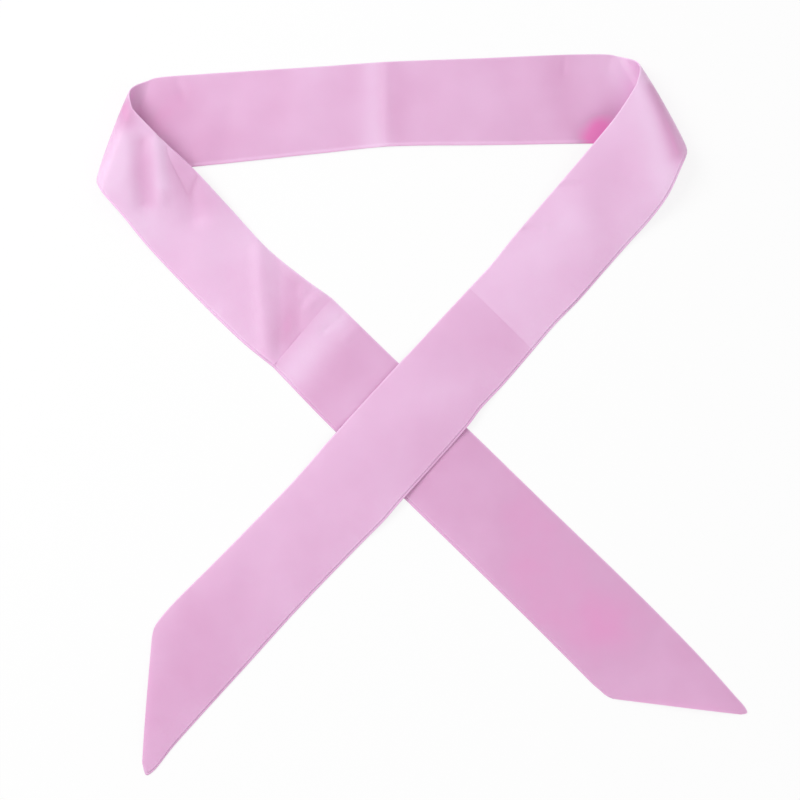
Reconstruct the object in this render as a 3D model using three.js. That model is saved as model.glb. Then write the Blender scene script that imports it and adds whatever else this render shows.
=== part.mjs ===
// A cooling scarf: a long narrow band of doubled satin, laid out flat in a loop with its tails crossed.
// Millimetres, +Z up, origin on the surface under the middle of the scarf, tails towards -Y.
//
// The scarf is three strips of cloth, each folded lengthwise: a neck band and two tails. One long edge of
// the band is the pressed fold, the other is the seam, where the cloth's two turned-in edges lie on each
// other as lips. The neck band is laid as a back stretch that rolls over at each side into an arm, so the
// back shows the right face of the band and the arms and tails show its other face.
//
// A band is described by rulings, straight lines from the folded edge to the seamed edge. Each stretch is a
// wall of cloth carried through the rulings of its own short table, with a curve through the rows.

import * as THREE from 'three';

// ---------------------------------------------------------------- driving sizes
const WALL = 1.0;              // one layer of cloth
const LAYER_GAP = 0.3;         // between the two layers of the band
const PIECE_GAP = 0.3;         // between neighbouring pieces at a seam
const LIP = 1.6;               // how far the right-side layer stands out past the other at the seamed edge
const END_WALL = 1.0;          // cloth that closes the slanted end of a tail
const ACROSS = 4;              // facets across each layer
const FOLD_FACETS = 4;         // facets round the folded edge
const ROLL_FACETS = 12;        // facets round a roll, from the back stretch up and over to the arm

const HALF = WALL + LAYER_GAP / 2;          // half the thickness of the doubled band
const OVER = 2 * HALF + PIECE_GAP;          // lift of a band that lies on another band

// ---------------------------------------------------------------- the laid-out shape
// Every row is one ruling. Columns: folded edge x, y and lift, then seamed edge x, y and lift.
// Lift is how far the band stands above lying flat.

const BACK_ROWS = [
  [-145, 183, 0, -165, 128, 0],             // where the left roll begins
  [-118, 185.5, 0, -128, 132, 0],
  [-88, 187.5, 0, -90, 136, 0],
  [-50, 190, 0, -49, 140.5, 0],
  [-16, 192.5, 0, -15, 144, 0],             // pressed crease in the middle
  [35, 194.5, 0, 37, 144.8, 0],
  [68, 196, 0, 82, 145.6, 0],
  [92, 196.8, 0, 115, 146, 0],
  [110, 196.5, 0, 138, 146.4, 0],           // where the right roll begins
];

// A roll turns the band over about a slanted line. At each of its two edges it starts from the back
// stretch, swings out by its reach, climbs by its rise and slips along the slanted line towards the seam.
const LEFT_ROLL = {
  slant: 70,                                // direction of the rolled line, degrees from +X
  out: 160,                                 // direction that the roll bulges towards
  folded: { reach: 7, rise: 17, slip: 24 },
  seamed: { reach: 6.6, rise: 13, slip: 14 },
  start: BACK_ROWS[0],
};
const RIGHT_ROLL = {
  slant: 114.75,
  out: 24.75,
  folded: { reach: 8.4, rise: 18, slip: 25 },
  seamed: { reach: 7.6, rise: 14, slip: 18 },
  start: BACK_ROWS[BACK_ROWS.length - 1],
};

// From the top of each roll the arm comes down over the back stretch and lies flat before its cross seam.
const LEFT_ARM_ROWS = [
  [-143.5, 150, 15.6, -158, 101.5, 9.5],
  [-133.5, 140.5, 12, -147, 88, 4],
  [-121, 129.4, 8, -135, 75, 0.9],
  [-102.5, 110, 3, -121, 60.7, 0],
  [-81, 86.8, 0.5, -107, 46.7, 0],
  [-62.5, 71.5, 0, -92.3, 33, 0],
  [-45.3, 59, 0, -77.3, 21, 0],             // cross seam
];
const RIGHT_ARM_ROWS = [
  [110.5, 158, 16, 138.5, 114.5, 9.5],
  [100, 145.3, 11.5, 129, 101.5, 4],
  [87, 130.4, 6.6, 118.5, 90, 1],
  [70, 111.1, 2.2, 104, 73.7, 0],
  [53.8, 92.4, 0.3, 90.2, 58, 0],
  [42.2, 77.8, 0, 77, 44.5, 0],
  [30, 64.5, 0, 64.5, 30, 0],               // cross seam
];

// Each tail starts at its cross seam. The last rows swing round to the slanted cut, with soft corners.
const LEFT_TAIL_ROWS = [
  [-45.3, 59, 0, -77.3, 21, 0],             // cross seam
  [-11.5, 25.8, 0, -48.3, -9, 0],
  [29, -13, 0, -5, -51.2, 0],
  [76, -59, 0, 37, -92, 0],
  [108, -90, 0, 60, -114.5, 0],
  [134, -116, 0, 76, -130.5, 0],
  [154.5, -137.5, 0, 87, -141.5, 0],
  [169.5, -154.5, 0, 94.5, -149, 0],
  [176, -162, 0, 99, -152.7, 0],
  [173.5, -164.8, 0, 105, -157, 0],         // slanted cut, tip to corner
];
const RIGHT_TAIL_ROWS = [
  [30, 64.5, 0, 64.5, 30, 0],               // cross seam
  [12, 45, 0, 49, 12, 0],
  [-1, 30.5, OVER * 0.75, 35.5, -2.5, OVER * 0.75],
  [-7, 24.2, OVER, 30, -10, OVER],          // over the left tail
  [-47, -20, OVER, -10, -55, OVER],
  [-53, -27, OVER * 0.75, -16, -62, OVER * 0.75],
  [-66, -41.6, 0, -29, -75, 0],
  [-95, -71.8, 0, -63, -110, 0],
  [-112.5, -89.6, 0, -89.3, -139, 0],
  [-125, -102, 0, -111.3, -163, 0],
  [-132.5, -110, 0, -128.3, -182, 0],
  [-137.3, -116, 0, -138.5, -195, 0],
  [-139.3, -119.5, 0, -142, -196.5, 0],
  [-140.3, -124, 0, -144.5, -189, 0],       // slanted cut, corner to tip
];

// ---------------------------------------------------------------- rulings
const direction = (degrees) => {
  const angle = THREE.MathUtils.degToRad(degrees);
  return new THREE.Vector3(Math.cos(angle), Math.sin(angle), 0);
};

const rulingOfRow = ([foldX, foldY, foldLift, seamX, seamY, seamLift]) => ({
  folded: new THREE.Vector3(foldX, foldY, HALF + foldLift),
  seamed: new THREE.Vector3(seamX, seamY, HALF + seamLift),
});

// One edge of a roll after it has turned by a given share of half a turn.
function rollEdge(start, { reach, rise, slip }, roll, share) {
  const turn = Math.PI * share;
  return start.clone()
    .addScaledVector(direction(roll.out), reach * Math.sin(turn))
    .addScaledVector(direction(roll.slant), -slip * share)
    .add(new THREE.Vector3(0, 0, rise * (1 - Math.cos(turn)) / 2));
}

function rollRulings(roll) {
  const start = rulingOfRow(roll.start);
  return Array.from({ length: ROLL_FACETS + 1 }, (_, step) => ({
    folded: rollEdge(start.folded, roll.folded, roll, step / ROLL_FACETS),
    seamed: rollEdge(start.seamed, roll.seamed, roll, step / ROLL_FACETS),
  }));
}

// More rulings between the given ones, on a smooth curve through each edge that never dips under flat.
function smoothRulings(rulings, steps) {
  const curveOf = (edge) => new THREE.CatmullRomCurve3(rulings.map((ruling) => ruling[edge]), false, 'centripetal');
  const folded = curveOf('folded');
  const seamed = curveOf('seamed');
  const pointOn = (curve, share) => {
    const point = curve.getPoint(share);
    point.z = Math.max(HALF, point.z);
    return point;
  };
  return Array.from({ length: steps + 1 }, (_, step) => ({
    folded: pointOn(folded, step / steps),
    seamed: pointOn(seamed, step / steps),
  }));
}

// Draws the first or last ruling back along the band, to leave half the gap at a seam.
function trimEnd(rulings, end, neighbour) {
  const back = PIECE_GAP / 2;
  for (const edge of ['folded', 'seamed']) {
    const inward = rulings[neighbour][edge].clone().sub(rulings[end][edge]).normalize();
    rulings[end][edge].addScaledVector(inward, back);
  }
}

// ---------------------------------------------------------------- the doubled wall of cloth
// The wall's path across the band as [distance from the folded edge, height over the band's middle]:
// along the right-side layer from its lip, round the folded edge, and back along the other layer.
function wallPath(width, surface, foldRadius) {
  const path = [];
  for (let step = ACROSS; step >= 0; step -= 1) {
    path.push([HALF + (width - HALF) * step / ACROSS, surface]);
  }
  for (let step = 1; step < FOLD_FACETS; step += 1) {
    const angle = Math.PI * step / FOLD_FACETS;
    path.push([HALF - foldRadius * Math.sin(angle), surface * Math.cos(angle)]);
  }
  for (let step = 0; step <= ACROSS; step += 1) {
    path.push([HALF + (width - LIP - HALF) * step / ACROSS, -surface]);
  }
  return path;
}

// The outer and inner skins of the wall at every ruling, as grids of points.
function wallSkins(rulings) {
  return rulings.map((ruling, index) => {
    const before = rulings[Math.max(0, index - 1)];
    const after = rulings[Math.min(rulings.length - 1, index + 1)];
    const across = ruling.seamed.clone().sub(ruling.folded);
    const width = across.length();
    across.normalize();
    const along = after.folded.clone().add(after.seamed).sub(before.folded).sub(before.seamed);
    const rightSide = across.clone().cross(along).normalize();
    const place = ([distance, height]) => ruling.folded.clone()
      .addScaledVector(across, distance)
      .addScaledVector(rightSide, height);
    return {
      outer: wallPath(width, HALF, HALF).map(place),
      inner: wallPath(width, LAYER_GAP / 2, LAYER_GAP / 2).map(place),
    };
  });
}

// A closed body from the skins. An open end is the cut edge of the cloth; a sewn end is closed by cloth.
function wallGeometry(sections, sewnEnd) {
  const positions = [];
  const indices = [];
  const addPoint = (point) => positions.push(point.x, point.y, point.z) / 3 - 1;
  const quad = (a, b, c, d) => indices.push(a, c, b, a, d, c);
  const grid = sections.map(({ outer, inner }) => ({ outer: outer.map(addPoint), inner: inner.map(addPoint) }));
  const last = grid.length - 1;
  const rim = grid[0].outer.length - 1;
  const innerLast = sewnEnd ? last - 1 : last;

  for (let row = 0; row < last; row += 1) {
    const { outer, inner } = grid[row];
    const next = grid[row + 1];
    for (let step = 0; step < rim; step += 1) {
      quad(outer[step], outer[step + 1], next.outer[step + 1], next.outer[step]);
      if (row < innerLast) {
        quad(inner[step + 1], inner[step], next.inner[step], next.inner[step + 1]);
      }
    }
    if (row < innerLast) {
      quad(inner[0], outer[0], next.outer[0], next.inner[0]);
      quad(outer[rim], inner[rim], next.inner[rim], next.outer[rim]);
    }
  }
  // A cut edge of the cloth: the strip between its two skins.
  const cutEdge = (skin, otherSkin) => {
    for (let step = 0; step < rim; step += 1) {
      quad(skin[step], otherSkin[step], otherSkin[step + 1], skin[step + 1]);
    }
  };
  cutEdge(grid[0].outer, grid[0].inner);
  if (sewnEnd) closeSewnEnd(grid[last - 1], grid[last].outer, quad, indices);
  else cutEdge(grid[last].inner, grid[last].outer);

  const geometry = new THREE.BufferGeometry();
  geometry.setAttribute('position', new THREE.Float32BufferAttribute(positions, 3));
  geometry.setIndex(indices);
  return dropUnusedPoints(geometry);
}

// The closing cloth of a sewn end: it fills the space between the layers from the last inner ruling on.
function closeSewnEnd({ outer, inner }, end, quad, indices) {
  const rim = outer.length - 1;
  for (let step = 0; step < rim / 2; step += 1) {
    quad(end[step], end[step + 1], end[rim - step - 1], end[rim - step]);
    quad(inner[step + 1], inner[step], inner[rim - step], inner[rim - step - 1]);
  }
  const lipFan = [outer[0], end[0], end[rim], outer[rim], inner[rim], inner[0]];
  for (let corner = 1; corner < lipFan.length - 1; corner += 1) {
    indices.push(lipFan[0], lipFan[corner + 1], lipFan[corner]);
  }
}

// Rewrites the points so that only those that a face uses are left.
function dropUnusedPoints(geometry) {
  const source = geometry.getAttribute('position');
  const places = new Map();
  const kept = [];
  const indices = Array.from(geometry.getIndex().array, (corner) => {
    if (!places.has(corner)) {
      places.set(corner, places.size);
      kept.push(source.getX(corner), source.getY(corner), source.getZ(corner));
    }
    return places.get(corner);
  }).filter((corner, place, list) => {
    const start = place - place % 3;
    return new Set(list.slice(start, start + 3)).size === 3;
  });
  const result = new THREE.BufferGeometry();
  result.setAttribute('position', new THREE.Float32BufferAttribute(kept, 3));
  result.setIndex(indices);
  result.computeVertexNormals();
  return result;
}

// ---------------------------------------------------------------- the pieces
const satin = (name, colour) => new THREE.MeshStandardMaterial({ name, color: colour, roughness: 0.45, metalness: 0 });

function bandPiece(name, rulings, colour, sewnEnd = false) {
  const mesh = new THREE.Mesh(wallGeometry(wallSkins(rulings), sewnEnd), satin(name, colour));
  mesh.name = name;
  return mesh;
}

function backStretch() {
  const rulings = BACK_ROWS.map(rulingOfRow);
  trimEnd(rulings, 0, 1);
  trimEnd(rulings, rulings.length - 1, rulings.length - 2);
  return bandPiece('back_stretch', rulings, 0xe4afd7);
}

// An arm with its roll. The rulings run from left to right along the scarf, so the left arm is turned round.
function arm(name, roll, rows, steps, turnedRound) {
  const rulings = smoothRulings([...rollRulings(roll), ...rows.map(rulingOfRow)], steps);
  if (turnedRound) rulings.reverse();
  trimEnd(rulings, 0, 1);
  trimEnd(rulings, rulings.length - 1, rulings.length - 2);
  return bandPiece(name, rulings, 0xe9bde0);
}

// A tail from its cross seam to its slanted end, with a last thin ruling where the end is sewn shut.
function tail(name, rows, stepsPerRow, turnedRound) {
  const plain = rows.slice(0, -1).map(rulingOfRow);
  const rulings = [...smoothRulings(plain, (plain.length - 1) * stepsPerRow), rulingOfRow(rows[rows.length - 1])];
  trimEnd(rulings, 0, 1);
  return bandPiece(name, rulings, 0xe6b8dd, true);
}

const group = new THREE.Group();
group.name = 'cooling_scarf';
group.add(
  backStretch(),
  arm('left_arm', LEFT_ROLL, LEFT_ARM_ROWS, 40, true),
  arm('right_arm', RIGHT_ROLL, RIGHT_ARM_ROWS, 40, false),
  tail('left_tail', LEFT_TAIL_ROWS, 2, true),
  tail('right_tail', RIGHT_TAIL_ROWS, 2, false),
);

export default group;
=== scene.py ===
"""A plain satin cooling scarf, laid flat in a loop with its tails crossed.

The scarf is three strips, each folded lengthwise: a neck band, which rolls over at each side of the loop,
and two tails with slanted ends. Every strip is worked out the same way. Rulings run across it from the
pressed fold to the sewn edge, and the cloth is carried over them: out along one layer, round the fold and
back along the other. Creases and puckers are then laid on, in millimetres over the surface.
"""
import math

import bpy
import numpy as np
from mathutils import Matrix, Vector


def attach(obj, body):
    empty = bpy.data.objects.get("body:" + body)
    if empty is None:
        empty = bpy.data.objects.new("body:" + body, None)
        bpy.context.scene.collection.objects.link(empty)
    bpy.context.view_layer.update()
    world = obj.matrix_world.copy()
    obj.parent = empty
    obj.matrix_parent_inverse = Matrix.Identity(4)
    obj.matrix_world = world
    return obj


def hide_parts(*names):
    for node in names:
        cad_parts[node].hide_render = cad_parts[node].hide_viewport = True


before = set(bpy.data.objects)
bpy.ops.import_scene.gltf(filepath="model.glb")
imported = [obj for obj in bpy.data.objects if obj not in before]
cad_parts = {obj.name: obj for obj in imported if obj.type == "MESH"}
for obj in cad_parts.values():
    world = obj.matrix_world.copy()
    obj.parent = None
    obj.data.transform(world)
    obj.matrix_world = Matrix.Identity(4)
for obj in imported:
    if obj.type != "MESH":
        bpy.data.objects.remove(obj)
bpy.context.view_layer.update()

MM = 0.001

# ------------------------------------------------------------------ sizes, in millimetres
HALF = 1.15                  # from the middle of a band to the CAD layer's outer face
LIFT_OVER = 2.6              # lift of a band that crosses over another
LIP = 1.3                    # how far one layer shows past the other at the sewn edge
EDGE_HALF = 0.32             # half the thickness of the band at its pressed edges
FULL_HALF = 1.08             # the same in the middle, where the two layers stand apart
CLOTH = 0.32                 # one layer of satin
STEP_ALONG = 1.5             # grid step along a strip
ACROSS = 40                  # grid steps across each layer
FOLD_STEPS = 6               # grid steps round the pressed fold
EVEN_SHARE = 0.55            # how much of the spacing across is even; the rest crowds to the edges

# ------------------------------------------------------------------ padding and creasing
LOFT_POWER = 2.6             # how square the padded section is
CREASE_RAMP = 6              # how soon the hand-laid creases come in from the edges
CREASE_AT_EDGE = 0.25        # the share of a crease that reaches the edges
WAVE_RAMP = 2.2              # how soon the slow waves come in from the edges
WAVE_LENGTHS = (23, 31, 42, 58, 77)
WAVE_RISE = 0.0016           # a wave's height for each millimetre of its length
HIDDEN_SEED_STEP = 7         # the hidden layer's waves are drawn apart from the upper layer's
CENTRE_RISE = 0.55           # the sharp press line at the back of the neck
CENTRE_REACH = 3.2
CENTRE_RAMP = 4
CENTRE_AT_EDGE = 0.3
LIFTED_SPAN = 4              # over this much lift a band counts as clear of the floor
DEEPEST_LAID = 0.75          # the deepest trough where a band lies flat
DEEPEST_LIFTED = 2           # how much deeper it may go where the band is lifted
SEAM_PULLS = (0.06, 0.02)    # how far the last two rows close towards the middle at a cross seam

# ------------------------------------------------------------------ rulings
# Columns: folded edge x, y and lift, then sewn edge x, y and lift.
BACK_ROWS = [
    (-145, 183, 0, -165, 128, 0),
    (-118, 185.5, 0, -128, 132, 0),
    (-88, 187.5, 0, -90, 136, 0),
    (-50, 190, 0, -49, 140.5, 0),
    (-16, 192.5, 0, -15, 144, 0),
    (35, 194.5, 0, 37, 144.8, 0),
    (68, 196, 0, 82, 145.6, 0),
    (92, 196.8, 0, 115, 146, 0),
    (110, 196.5, 0, 138, 146.4, 0),
]
LEFT_ROLL = {"slant": 70, "out": 160, "folded": (7, 17, 24), "sewn": (6.6, 13, 14)}
RIGHT_ROLL = {"slant": 114.75, "out": 24.75, "folded": (8.4, 18, 25), "sewn": (7.6, 14, 18)}
ROLL_ROWS = 12
LEFT_ARM_ROWS = [
    (-143.5, 150, 15.6, -158, 101.5, 9.5),
    (-133.5, 140.5, 12, -147, 88, 4),
    (-121, 129.4, 8, -135, 75, 0.9),
    (-102.5, 110, 3, -121, 60.7, 0),
    (-81, 86.8, 0.5, -107, 46.7, 0),
    (-62.5, 71.5, 0, -92.3, 33, 0),
    (-45.3, 59, 0, -77.3, 21, 0),
]
RIGHT_ARM_ROWS = [
    (110.5, 158, 16, 138.5, 114.5, 9.5),
    (100, 145.3, 11.5, 129, 101.5, 4),
    (87, 130.4, 6.6, 118.5, 90, 1),
    (70, 111.1, 2.2, 104, 73.7, 0),
    (53.8, 92.4, 0.3, 90.2, 58, 0),
    (42.2, 77.8, 0, 77, 44.5, 0),
    (30, 64.5, 0, 64.5, 30, 0),
]
LEFT_TAIL_ROWS = [
    (-45.3, 59, 0, -77.3, 21, 0),
    (-11.5, 25.8, 0, -48.3, -9, 0),
    (29, -13, 0, -5, -51.2, 0),
    (76, -59, 0, 37, -92, 0),
    (108, -90, 0, 60, -114.5, 0),
    (134, -116, 0, 76, -130.5, 0),
    (154.5, -137.5, 0, 87, -141.5, 0),
    (169.5, -154.5, 0, 94.5, -149, 0),
    (175.4, -161.5, 0, 98.5, -152.4, 0),
    (176.2, -164, 0, 101.5, -155, 0),
    (173, -164.8, 0, 105, -156.6, 0),
]
RIGHT_TAIL_ROWS = [
    (30, 64.5, 0, 64.5, 30, 0),
    (12, 45, 0, 49, 12, 0),
    (-1, 30.5, 1.95, 35.5, -2.5, 1.95),
    (-7, 24.2, LIFT_OVER, 30, -10, LIFT_OVER),
    (-47, -20, LIFT_OVER, -10, -55, LIFT_OVER),
    (-53, -27, 1.95, -16, -62, 1.95),
    (-66, -41.6, 0, -29, -75, 0),
    (-95, -71.8, 0, -63, -110, 0),
    (-112.5, -89.6, 0, -89.3, -139, 0),
    (-125, -102, 0, -111.3, -163, 0),
    (-132.5, -110, 0, -128.3, -182, 0),
    (-137.3, -116, 0, -138.5, -194.5, 0),
    (-139.3, -119.5, 0, -142, -196.3, 0),
    (-140.3, -124, 0, -144.3, -190, 0),
]


def edge_points(rows):
    """The folded and sewn edges of some rows, as two (rows, 3) arrays at the band's middle height."""
    table = np.array(rows, float)
    table[:, [2, 5]] += HALF
    return table[:, :3], table[:, 3:]


def roll_edges(roll, start_row):
    """Both edges of a roll, from the row it starts at.

    A point is start + out * reach * sin(turn) - slant * slip * share + up * rise * (1 - cos(turn)) / 2.
    """
    share = np.linspace(0, 1, ROLL_ROWS + 1)[:, None]
    turn = np.pi * share
    out = np.array([math.cos(math.radians(roll["out"])), math.sin(math.radians(roll["out"])), 0])
    slant = np.array([math.cos(math.radians(roll["slant"])), math.sin(math.radians(roll["slant"])), 0])
    up = np.array([0, 0, 1.0])
    edges = []
    for start, (reach, rise, slip) in zip(edge_points([start_row]), (roll["folded"], roll["sewn"])):
        edges.append(
            start + out * reach * np.sin(turn) - slant * slip * share + up * rise * (1 - np.cos(turn)) / 2
        )
    return edges


def centripetal(points, counts):
    """A centripetal Catmull-Rom curve through the points, with a count of even steps for each span.

    Each span is the Barry-Goldman blend of its four nearest points, with knots spaced by root chord.
    """
    first = 2 * points[0] - points[1]
    last = 2 * points[-1] - points[-2]
    padded = np.vstack([first, points, last])
    knots = np.concatenate([[0], np.cumsum(np.linalg.norm(np.diff(padded, axis=0), axis=1) ** 0.5)])
    shares = [np.linspace(0, 1, count, endpoint=False) for count in counts]
    share = np.concatenate(shares + [[1.0]])
    span = np.append(np.repeat(np.arange(len(counts)), counts), len(counts) - 1)
    t0, t1, t2, t3 = (knots[span + k][:, None] for k in range(4))
    p0, p1, p2, p3 = (padded[span + k] for k in range(4))
    t = t1 + share[:, None] * (t2 - t1)
    a1 = (t1 - t) / (t1 - t0) * p0 + (t - t0) / (t1 - t0) * p1
    a2 = (t2 - t) / (t2 - t1) * p1 + (t - t1) / (t2 - t1) * p2
    a3 = (t3 - t) / (t3 - t2) * p2 + (t - t2) / (t3 - t2) * p3
    b1 = (t2 - t) / (t2 - t0) * a1 + (t - t0) / (t2 - t0) * a2
    b2 = (t3 - t) / (t3 - t1) * a2 + (t - t1) / (t3 - t1) * a3
    return (t2 - t) / (t2 - t1) * b1 + (t - t1) / (t2 - t1) * b2


def rulings(folded, sewn):
    """The two edges of a strip on smooth curves, with a row about every STEP_ALONG, never under flat."""
    middle = (folded + sewn) / 2
    reach = np.maximum(
        np.linalg.norm(np.diff(folded, axis=0), axis=1), np.linalg.norm(np.diff(sewn, axis=0), axis=1)
    )
    reach = np.maximum(reach, np.linalg.norm(np.diff(middle, axis=0), axis=1))
    counts = np.maximum(2, np.ceil(reach / STEP_ALONG)).astype(int)
    edges = [centripetal(edge, counts) for edge in (folded, sewn)]
    for edge in edges:
        edge[:, 2] = np.maximum(edge[:, 2], HALF)
    return edges


def neck_band_edges():
    """The whole neck band from its left cross seam, over both rolls, to its right cross seam."""
    back_folded, back_sewn = edge_points(BACK_ROWS)
    left_folded, left_sewn = roll_edges(LEFT_ROLL, BACK_ROWS[0])
    right_folded, right_sewn = roll_edges(RIGHT_ROLL, BACK_ROWS[-1])
    left_arm = edge_points(LEFT_ARM_ROWS)
    right_arm = edge_points(RIGHT_ARM_ROWS)
    folded = [left_arm[0][::-1], left_folded[::-1], back_folded[1:-1], right_folded, right_arm[0]]
    sewn = [left_arm[1][::-1], left_sewn[::-1], back_sewn[1:-1], right_sewn, right_arm[1]]
    return rulings(np.vstack(folded), np.vstack(sewn))


# ------------------------------------------------------------------ creases
# Columns: from x, y to x, y, half-width, height. A negative height is a trough. Millimetres.
BACK_CREASES = [
    (-60, 190, -66, 143, 9, 0.35),
    (-98, 186, -106, 140, 7, -0.4),
    (20, 192, 14, 148, 12, 0.3),
    (52, 194, 60, 150, 8, -0.35),
    (84, 196, 83, 186, 1.6, -0.45),
    (110, 197, 108, 188, 1.8, -0.4),
    (-132, 182, -128, 172, 2.4, -0.4),
]
ARM_CREASES = [
    (-149, 142, -148, 110, 5, -1.5),
    (-140, 143, -138, 112, 3.6, 1.0),
    (-129, 137, -121, 104, 7, -1.7),
    (-141, 149, -139, 146.5, 1.3, 1.2),
    (-138.5, 145.5, -136, 143.5, 1.1, -0.8),
    (-85, 86, -80, 23, 4.5, 1.1),
    (-69, 76, -68, 30, 7, -1.6),
    (-45, 57, -52, 46, 1.8, -0.6),
    (-49, 63, -58, 54, 1.6, 0.45),
    (-54, 66, -62, 56, 2.2, -0.5),
    (-110, 110, -118, 66, 10, 0.5),
    (57, 98.2, 70, 96.2, 1.3, -0.6),
    (59, 101, 73, 99.2, 1.8, 0.4),
    (76, 120.6, 91, 121.3, 1.3, -0.55),
    (78, 123.6, 91, 124.2, 2, 0.35),
    (98, 104, 86, 60, 12, 0.5),
    (112, 138, 104, 104, 9, -0.6),
]
TAIL_CREASES = [
    (-38, 51, -50, 40, 1.6, -0.5),
    (-30, 44, -38, 36, 2, 0.4),
    (10, 0, -20, -34, 10, 0.4),
    (-60, -55, -84, -84, 9, -0.35),
    (-100, -96, -112, -150, 8, 0.3),
    (40, -40, 62, -66, 8, -0.3),
    (90, -100, 118, -128, 9, 0.3),
]
CENTRE_CREASE = (-15.8, 193, -14.7, 144)


def distance_to(points, x0, y0, x1, y1):
    """Each point's distance from the segment, in plan."""
    start = np.array([x0, y0])
    run = np.array([x1, y1]) - start
    offset = points[..., :2] - start
    share = (offset @ run) / (run @ run)
    nearest = offset - np.clip(share, 0, 1)[..., None] * run
    return np.linalg.norm(nearest, axis=-1)


def crease_height(points, creases):
    """The sum of soft ridges and troughs: height * exp(-(distance / half-width) squared)."""
    total = np.zeros(points.shape[:-1])
    for x0, y0, x1, y1, half_width, height in creases:
        distance = distance_to(points, x0, y0, x1, y1)
        total += height * np.exp(-((distance / half_width) ** 2))
    return total


def slow_waves(points, seed):
    """Uneven broad waves of pressed satin: five plane sines of differing length and direction."""
    random = np.random.default_rng(seed)
    total = np.zeros(points.shape[:-1])
    for length in WAVE_LENGTHS:
        angle = random.uniform(0, np.pi)
        phase = random.uniform(0, 2 * np.pi)
        along = points[..., 0] * math.cos(angle) + points[..., 1] * math.sin(angle)
        total += np.sin(2 * np.pi * along / length + phase) * length * WAVE_RISE
    return total


# ------------------------------------------------------------------ the folded strip
def path_across():
    """The cloth's path across a band: each point's share of the width, its side, and its bulge.

    Side is 1 on the right-side layer, -1 on the other, and the cosine of the turn round the fold, where
    the bulge is the sine of that turn.
    """
    even = np.linspace(0, 1, ACROSS + 1)
    crowded = 0.5 - 0.5 * np.cos(np.pi * even)
    share = EVEN_SHARE * even + (1 - EVEN_SHARE) * crowded
    turn = np.pi * np.arange(1, FOLD_STEPS) / FOLD_STEPS
    shares = np.concatenate([share[::-1], np.zeros(FOLD_STEPS - 1), share])
    sides = np.concatenate([np.ones(ACROSS + 1), np.cos(turn), -np.ones(ACROSS + 1)])
    bulge = np.concatenate([np.zeros(ACROSS + 1), np.sin(turn), np.zeros(ACROSS + 1)])
    return shares, sides, bulge


def strip_surface(folded, sewn, creases, centre_crease, seed):
    """The outer face of a folded strip as a grid of points, one row of the grid for each ruling.

    A point is folded edge + across * distance + normal * height. Height is the half-thickness, which
    grows from the edges to the middle as 1 - |2u - 1| to the loft power, less the droop that keeps the
    lower layer flat on what it lies on, plus the creases on the layer that faces up.
    Also gives the width of each row, and each point's distance from the folded edge.
    """
    across = sewn - folded
    width = np.linalg.norm(across, axis=1)
    across /= width[:, None]
    along = np.gradient((folded + sewn) / 2, axis=0)
    normal = np.cross(across, along)
    normal /= np.linalg.norm(normal, axis=1)[:, None]
    facing = normal[:, 2][:, None]

    shares, sides, bulge = path_across()
    layer_width = np.where(sides[None, :] == -1, width[:, None] - LIP, width[:, None])
    distance = EDGE_HALF + (layer_width - EDGE_HALF) * shares[None, :] - EDGE_HALF * bulge[None, :]
    u = np.clip(distance / width[:, None], 0, 1)
    loft = 1 - np.abs(2 * u - 1) ** LOFT_POWER
    half = EDGE_HALF + (FULL_HALF - EDGE_HALF) * loft
    droop = (FULL_HALF - EDGE_HALF) * (1 - loft)
    height = sides[None, :] * half - facing * droop

    base = folded[:, None, :] + across[:, None, :] * distance[..., None]
    up_layer = np.clip(sides[None, :] * facing, 0, 1)
    down_layer = np.clip(-sides[None, :] * facing, 0, 1)
    inner = np.clip(loft * WAVE_RAMP, 0, 1)
    relief = crease_height(base, creases) * np.clip(loft * CREASE_RAMP + CREASE_AT_EDGE, 0, 1)
    relief += slow_waves(base, seed) * inner
    if centre_crease:
        rise = CENTRE_RISE * np.exp(-distance_to(base, *CENTRE_CREASE) / CENTRE_REACH)
        relief += rise * np.clip(loft * CENTRE_RAMP + CENTRE_AT_EDGE, 0, 1)
    lifted = np.clip((base[..., 2] - HALF) / LIFTED_SPAN, 0, 1)
    lowest = -DEEPEST_LAID * inner - lifted * DEEPEST_LIFTED
    height += np.sign(facing) * up_layer * np.maximum(relief, lowest)
    hidden = slow_waves(base[..., [1, 0, 2]], seed + HIDDEN_SEED_STEP) * inner * lifted
    height -= np.sign(facing) * down_layer * hidden
    points = base + normal[:, None, :] * height[..., None]
    return points, width, distance


def seam_shoulders(points, at_first, at_last):
    """Draws the two rows next to a cross seam a little towards the middle of the band's thickness."""
    middle = points[..., 2:3].mean(axis=1, keepdims=True)
    for row, pull in enumerate(SEAM_PULLS):
        if at_first:
            points[row, :, 2:3] += (middle[row] - points[row, :, 2:3]) * pull
        if at_last:
            last = -1 - row
            points[last, :, 2:3] += (middle[last] - points[last, :, 2:3]) * pull
    return points


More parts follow.
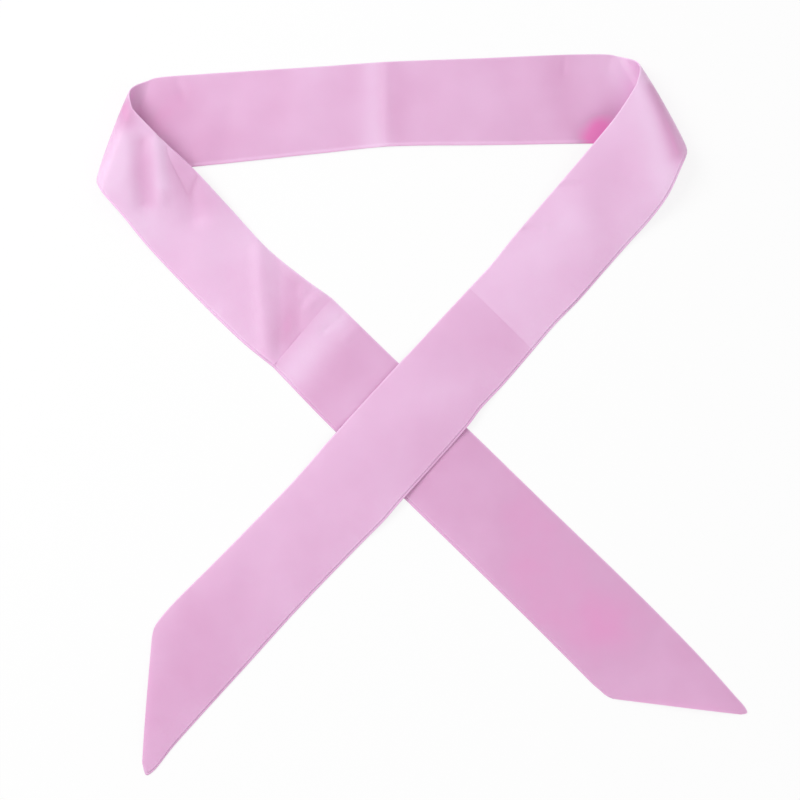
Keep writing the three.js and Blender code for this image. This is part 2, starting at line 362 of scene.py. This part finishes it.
def strip_object(name, points, painted_shading):
    """A mesh from the grid, with a cloth UV in metres and painted light and shade for each point, given
    its thickness.

    The edges along its two cut ends are sharp, so that the cloth shades flat up to each cut.
    """
    rows, columns = points.shape[:2]
    index = np.arange(rows * columns).reshape(rows, columns)
    corners = [index[:-1, :-1], index[1:, :-1], index[1:, 1:], index[:-1, 1:]]
    faces = np.stack(corners, axis=-1).reshape(-1, 4)
    mesh = bpy.data.meshes.new(name)
    mesh.from_pydata((points.reshape(-1, 3) * MM).tolist(), [], faces.tolist())
    step_along = np.linalg.norm(np.diff(points.mean(axis=1), axis=0), axis=1)
    run = np.concatenate([[0], np.cumsum(step_along)])
    step_over = np.linalg.norm(np.diff(points, axis=1), axis=2).mean(axis=0)
    over = np.concatenate([[0], np.cumsum(step_over)])
    uv = np.stack(np.broadcast_arrays(run[:, None] * MM, over[None, :] * MM), axis=-1).reshape(-1, 2)
    layer = mesh.uv_layers.new(name="cloth")
    layer.data.foreach_set("uv", uv[faces.reshape(-1)].ravel())
    attribute = mesh.attributes.new("painted_shading", "FLOAT", "POINT")
    attribute.data.foreach_set("value", painted_shading.reshape(-1))
    mesh.polygons.foreach_set("use_smooth", np.ones(len(faces), bool))
    ends = np.zeros(len(mesh.edges) * 2, int)
    mesh.edges.foreach_get("vertices", ends)
    row_of_end = (ends // columns).reshape(-1, 2)
    at_cut = (row_of_end == 0).all(axis=1) | (row_of_end == rows - 1).all(axis=1)
    mesh.edges.foreach_set("use_edge_sharp", at_cut)
    mesh.update()
    obj = bpy.data.objects.new(name, mesh)
    bpy.context.scene.collection.objects.link(obj)
    solid = obj.modifiers.new("cloth thickness", "SOLIDIFY")
    solid.thickness = CLOTH * MM
    solid.offset = -1
    solid.use_rim = True
    return obj


def paint_shading_patches(points, painted_patches, base):
    """Painted light and shade: a base level with soft patches along segments, a painted highlight where
    negative, painted shade or bounced-light glow where positive.
    """
    painted_shading = np.full(points.shape[:-1], float(base))
    for x0, y0, x1, y1, half_width, value in painted_patches:
        distance = distance_to(points, x0, y0, x1, y1)
        painted_shading += value * np.exp(-((distance / half_width) ** 2))
    return painted_shading


# ------------------------------------------------------------------ satin
# The pink ramp runs from the lightest pink, used for painted highlights, to the deepest, a painted glow
# of light bounced between the layers in the fold hollows.
LIGHTEST = (0.99, 0.62, 0.915, 1)
BOUNCED_GLOW_PINK = (1.0, 0.22, 0.60, 1)
BETWEEN = {0.25: (0.90, 0.495, 0.785, 1), 0.5: (0.80, 0.385, 0.655, 1)}
MOTTLE = 0.40                # the span of the slow mottling, on the same scale as the painted light and shade


def satin():
    """Pink satin: a fine crosswise weave, slow mottling of the colour, a soft sheen, and painted light
    and shade from each point.
    """
    material = bpy.data.materials.new("pink satin")
    material.use_nodes = True
    nodes = material.node_tree.nodes
    links = material.node_tree.links
    shader = nodes["Principled BSDF"]
    shader.inputs["Roughness"].default_value = 0.46
    shader.inputs["Specular IOR Level"].default_value = 0.42
    shader.inputs["Sheen Weight"].default_value = 0.25
    shader.inputs["Sheen Roughness"].default_value = 0.4
    shader.inputs["Sheen Tint"].default_value = (1.0, 0.78, 0.93, 1)
    shader.inputs["Subsurface Weight"].default_value = 0.2
    shader.inputs["Subsurface Radius"].default_value = (1.0, 0.45, 0.7)
    shader.inputs["Subsurface Scale"].default_value = 0.004

    # The base colour comes from the painted light and shade stored on each point: painted highlight,
    # painted shade and painted bounced-light glow.
    painted_shading = nodes.new("ShaderNodeAttribute")
    painted_shading.attribute_name = "painted_shading"
    ramp = nodes.new("ShaderNodeValToRGB")
    ramp.color_ramp.elements[0].color = LIGHTEST
    ramp.color_ramp.elements[1].color = BOUNCED_GLOW_PINK
    for place_on_ramp, colour in BETWEEN.items():
        ramp.color_ramp.elements.new(place_on_ramp).color = colour

    place = nodes.new("ShaderNodeTexCoord")
    mottle = nodes.new("ShaderNodeTexNoise")
    mottle.inputs["Scale"].default_value = 22
    mottle.inputs["Detail"].default_value = 3
    centred = nodes.new("ShaderNodeMath")
    centred.operation = "MULTIPLY_ADD"
    centred.inputs[1].default_value = MOTTLE
    centred.inputs[2].default_value = -MOTTLE / 2
    add = nodes.new("ShaderNodeMath")
    add.operation = "ADD"
    add.use_clamp = True
    links.new(place.outputs["Object"], mottle.inputs["Vector"])
    links.new(mottle.outputs["Fac"], centred.inputs[0])
    links.new(centred.outputs[0], add.inputs[0])
    links.new(painted_shading.outputs["Fac"], add.inputs[1])
    links.new(add.outputs[0], ramp.inputs["Fac"])
    links.new(ramp.outputs["Color"], shader.inputs["Base Color"])

    stretch = nodes.new("ShaderNodeMapping")
    stretch.inputs["Scale"].default_value = (500, 2600, 1)
    threads = nodes.new("ShaderNodeTexNoise")
    threads.inputs["Scale"].default_value = 1
    threads.inputs["Detail"].default_value = 2
    bump = nodes.new("ShaderNodeBump")
    bump.inputs["Strength"].default_value = 0.12
    bump.inputs["Distance"].default_value = 0.0002
    links.new(place.outputs["UV"], stretch.inputs["Vector"])
    links.new(stretch.outputs["Vector"], threads.inputs["Vector"])
    links.new(threads.outputs["Fac"], bump.inputs["Height"])
    links.new(bump.outputs["Normal"], shader.inputs["Normal"])
    return material


SATIN = satin()

# Painted light and shade, as how deep the pink is: 0 lightest, 1 deepest; each strip's level is painted
# sheen and shade.
BACK_PAINTED_LEVEL = 0.34
ARM_PAINTED_LEVEL = 0.2
LEFT_TAIL_PAINTED_LEVEL = 0.46
RIGHT_TAIL_PAINTED_LEVEL = 0.31
EDGE_HIGHLIGHT = 0.2           # painted highlight at the pressed fold and the sewn edge
EDGE_REACH = 0.7
TURN_SHARPNESS = 1.2         # how quickly the back's painted shading gives way to the arms' round a roll

# Columns: from x, y to x, y, half-width, and how much deeper the pink is painted there: painted shade or
# bounced-light glow where positive, painted highlight where negative.
BACK_PAINTED_SHADING = [
    (100, 148, 103, 153, 7, 0.62),
    (96, 150, 108, 160, 9, 0.22),
    (-140, 156, -132, 168, 15, 0.2),
    (-118, 136, -108, 146, 14, 0.16),
    (-60, 186, -62, 150, 12, -0.08),
    (-24, 190, -22, 148, 7, -0.2),
    (-10, 190, -9, 148, 7, 0.08),
    (80, 194, 84, 160, 9, 0.1),
    (114, 190, 118, 178, 9, -0.2),
]
ARM_PAINTED_SHADING = [
    (-166, 124, -157, 140, 10, -0.25),
    (-158, 162, -156, 154, 6, 0.4),
    (-149, 140, -146, 112, 6, 0.3),
    (-139, 142, -137, 120, 4, -0.2),
    (-150, 108, -146, 100, 14, -0.16),
    (-128, 128, -118, 112, 9, 0.2),
    (-98, 88, -110, 84, 16, -0.14),
    (-66, 66, -72, 38, 8, 0.22),
    (-52, 56, -66, 44, 9, 0.14),
    (121, 172, 137, 118, 7, -0.16),
    (129.5, 172, 142, 136, 4.5, 0.35),
    (112, 130, 104, 108, 12, 0.12),
    (70, 86, 84, 100, 14, -0.1),
]
LEFT_TAIL_PAINTED_SHADING = [
    (-44, 46, -66, 20, 12, -0.4),
    (-20, 18, -34, 0, 14, -0.1),
    (60, -76, 100, -120, 20, 0.1),
    (150, -150, 170, -160, 14, -0.05),
]
RIGHT_TAIL_PAINTED_SHADING = [
    (44, 44, 36, 30, 14, 0.05),
    (12, 10, -2, -8, 18, -0.05),
    (-100, -110, -130, -150, 22, 0.12),
    (-140, -170, -142, -192, 14, 0.08),
]


def back_share(folded, sewn):
    """How far each ruling belongs to the back stretch: 1 where the right side faces up, 0 on the arms."""
    across = sewn - folded
    along = np.gradient((folded + sewn) / 2, axis=0)
    facing = np.cross(across, along)
    facing /= np.linalg.norm(facing, axis=1)[:, None]
    return np.clip(0.5 + facing[:, 2] * TURN_SHARPNESS, 0, 1)


def paint_edge_highlight(painted_shading, distance, width):
    """The pressed fold and the sewn edge get a painted highlight, a shade lighter over their last
    millimetre.
    """
    from_edge = np.minimum(distance, width[:, None] - LIP - distance)
    return np.clip(painted_shading - EDGE_HIGHLIGHT * np.exp(-((from_edge / EDGE_REACH) ** 2)), 0, 1)


def make_neck_band():
    """The neck band: one folded strip, right side up at the back and turned over on the arms."""
    folded, sewn = neck_band_edges()
    creases = BACK_CREASES + ARM_CREASES
    points, width, distance = strip_surface(folded, sewn, creases, centre_crease=True, seed=3)
    points = seam_shoulders(points, True, True)
    # The back's painted light and shade blends into the arms' round each roll.
    on_back = back_share(folded, sewn)[:, None]
    back_painted_shading = paint_shading_patches(points, BACK_PAINTED_SHADING, BACK_PAINTED_LEVEL)
    arm_painted_shading = paint_shading_patches(points, ARM_PAINTED_SHADING, ARM_PAINTED_LEVEL)
    painted_shading = paint_edge_highlight(on_back * back_painted_shading + (1 - on_back) * arm_painted_shading, distance, width)
    band = strip_object("neck_band", points, painted_shading)
    band.data.materials.append(SATIN)
    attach(band, "root")
    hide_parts("back_stretch", "left_arm", "right_arm")


def make_tail(name, node, rows, from_end, seed, painted_patches, base_painted_level):
    """One tail, a folded strip between its cross seam and its slanted end.

    Its rulings run from the slanted end to the seam where from_end is true, or the other way.
    """
    folded, sewn = rulings(*edge_points(rows))
    if from_end:
        folded, sewn = folded[::-1], sewn[::-1]
    points, width, distance = strip_surface(folded, sewn, TAIL_CREASES, centre_crease=False, seed=seed)
    points = seam_shoulders(points, not from_end, from_end)
    # Painted light and shade: the tail's level and patches, with a painted highlight along its edges.
    painted_shading = paint_edge_highlight(paint_shading_patches(points, painted_patches, base_painted_level), distance, width)
    tail = strip_object(name, points, painted_shading)
    tail.data.materials.append(SATIN)
    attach(tail, "root")
    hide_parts(node)


make_neck_band()
make_tail(
    "left_tail_cloth", "left_tail", LEFT_TAIL_ROWS, True,
    seed=11, painted_patches=LEFT_TAIL_PAINTED_SHADING, base_painted_level=LEFT_TAIL_PAINTED_LEVEL,
)
make_tail(
    "right_tail_cloth", "right_tail", RIGHT_TAIL_ROWS, False,
    seed=17, painted_patches=RIGHT_TAIL_PAINTED_SHADING, base_painted_level=RIGHT_TAIL_PAINTED_LEVEL,
)


# ------------------------------------------------------------------ floor, light and camera
FLOOR_SIZE = 30              # metres
FLOOR_DROP = 0.0003          # metres under the cloth
FLOOR_WHITE = 0.82           # how much of the floor is plain white to the camera; the rest takes shadow


def make_floor():
    """A pale floor that the camera sees as white, apart from the scarf's own soft shadow."""
    material = bpy.data.materials.new("white floor")
    material.use_nodes = True
    nodes = material.node_tree.nodes
    links = material.node_tree.links
    shader = nodes["Principled BSDF"]
    shader.inputs["Base Color"].default_value = (0.92, 0.92, 0.92, 1)
    shader.inputs["Roughness"].default_value = 0.9
    white = nodes.new("ShaderNodeEmission")
    white.inputs["Strength"].default_value = 1.0
    path = nodes.new("ShaderNodeLightPath")
    seen = nodes.new("ShaderNodeMath")
    seen.operation = "ADD"
    seen.use_clamp = True
    share = nodes.new("ShaderNodeMath")
    share.operation = "MULTIPLY"
    share.inputs[1].default_value = FLOOR_WHITE
    mix = nodes.new("ShaderNodeMixShader")
    links.new(path.outputs["Is Camera Ray"], seen.inputs[0])
    links.new(path.outputs["Is Glossy Ray"], seen.inputs[1])
    links.new(seen.outputs[0], share.inputs[0])
    links.new(share.outputs[0], mix.inputs["Fac"])
    links.new(shader.outputs["BSDF"], mix.inputs[1])
    links.new(white.outputs["Emission"], mix.inputs[2])
    links.new(mix.outputs["Shader"], nodes["Material Output"].inputs["Surface"])
    bpy.ops.mesh.primitive_plane_add(size=FLOOR_SIZE, location=(0, 0, -FLOOR_DROP))
    floor = bpy.context.object
    floor.name = "floor"
    floor.data.materials.append(material)


def area_light(name, place, size, power):
    """A square soft light at a place, turned to the middle of the scarf."""
    lamp = bpy.data.lights.new(name, "AREA")
    lamp.size = size
    lamp.energy = power
    obj = bpy.data.objects.new(name, lamp)
    obj.location = place
    obj.rotation_euler = Vector(place).to_track_quat("Z", "Y").to_euler()
    bpy.context.scene.collection.objects.link(obj)


def make_world():
    """Even surroundings that light the scarf at one level and look white to the camera."""
    world = bpy.data.worlds.new("studio")
    world.use_nodes = True
    nodes = world.node_tree.nodes
    links = world.node_tree.links
    light = nodes["Background"]
    light.inputs["Color"].default_value = (1, 1, 1, 1)
    light.inputs["Strength"].default_value = 0.6
    white = nodes.new("ShaderNodeBackground")
    white.inputs["Color"].default_value = (1, 1, 1, 1)
    white.inputs["Strength"].default_value = 1.0
    path = nodes.new("ShaderNodeLightPath")
    mix = nodes.new("ShaderNodeMixShader")
    links.new(path.outputs["Is Camera Ray"], mix.inputs["Fac"])
    links.new(light.outputs["Background"], mix.inputs[1])
    links.new(white.outputs["Background"], mix.inputs[2])
    links.new(mix.outputs["Shader"], nodes["World Output"].inputs["Surface"])
    bpy.context.scene.world = world


def make_camera():
    """Almost straight down from the tails' side: 84 degrees up, 0.75 m from the middle of the view."""
    elevation = math.radians(84)
    distance = 0.75
    view_width = 0.4348
    aim = Vector((-0.008, 0.003, 0))
    away = Vector((0, -math.cos(elevation), math.sin(elevation)))
    data = bpy.data.cameras.new("camera")
    data.lens = data.sensor_width * distance / view_width
    camera = bpy.data.objects.new("camera", data)
    camera.location = aim + away * distance
    camera.rotation_euler = away.to_track_quat("Z", "Y").to_euler()
    bpy.context.scene.collection.objects.link(camera)
    bpy.context.scene.camera = camera


make_floor()
make_world()
make_camera()
area_light("key", (-0.9, 0.5, 1.1), size=0.9, power=11)
area_light("fill", (0.7, -0.9, 1.3), size=1.4, power=5)
bpy.context.scene.view_settings.view_transform = "Standard"
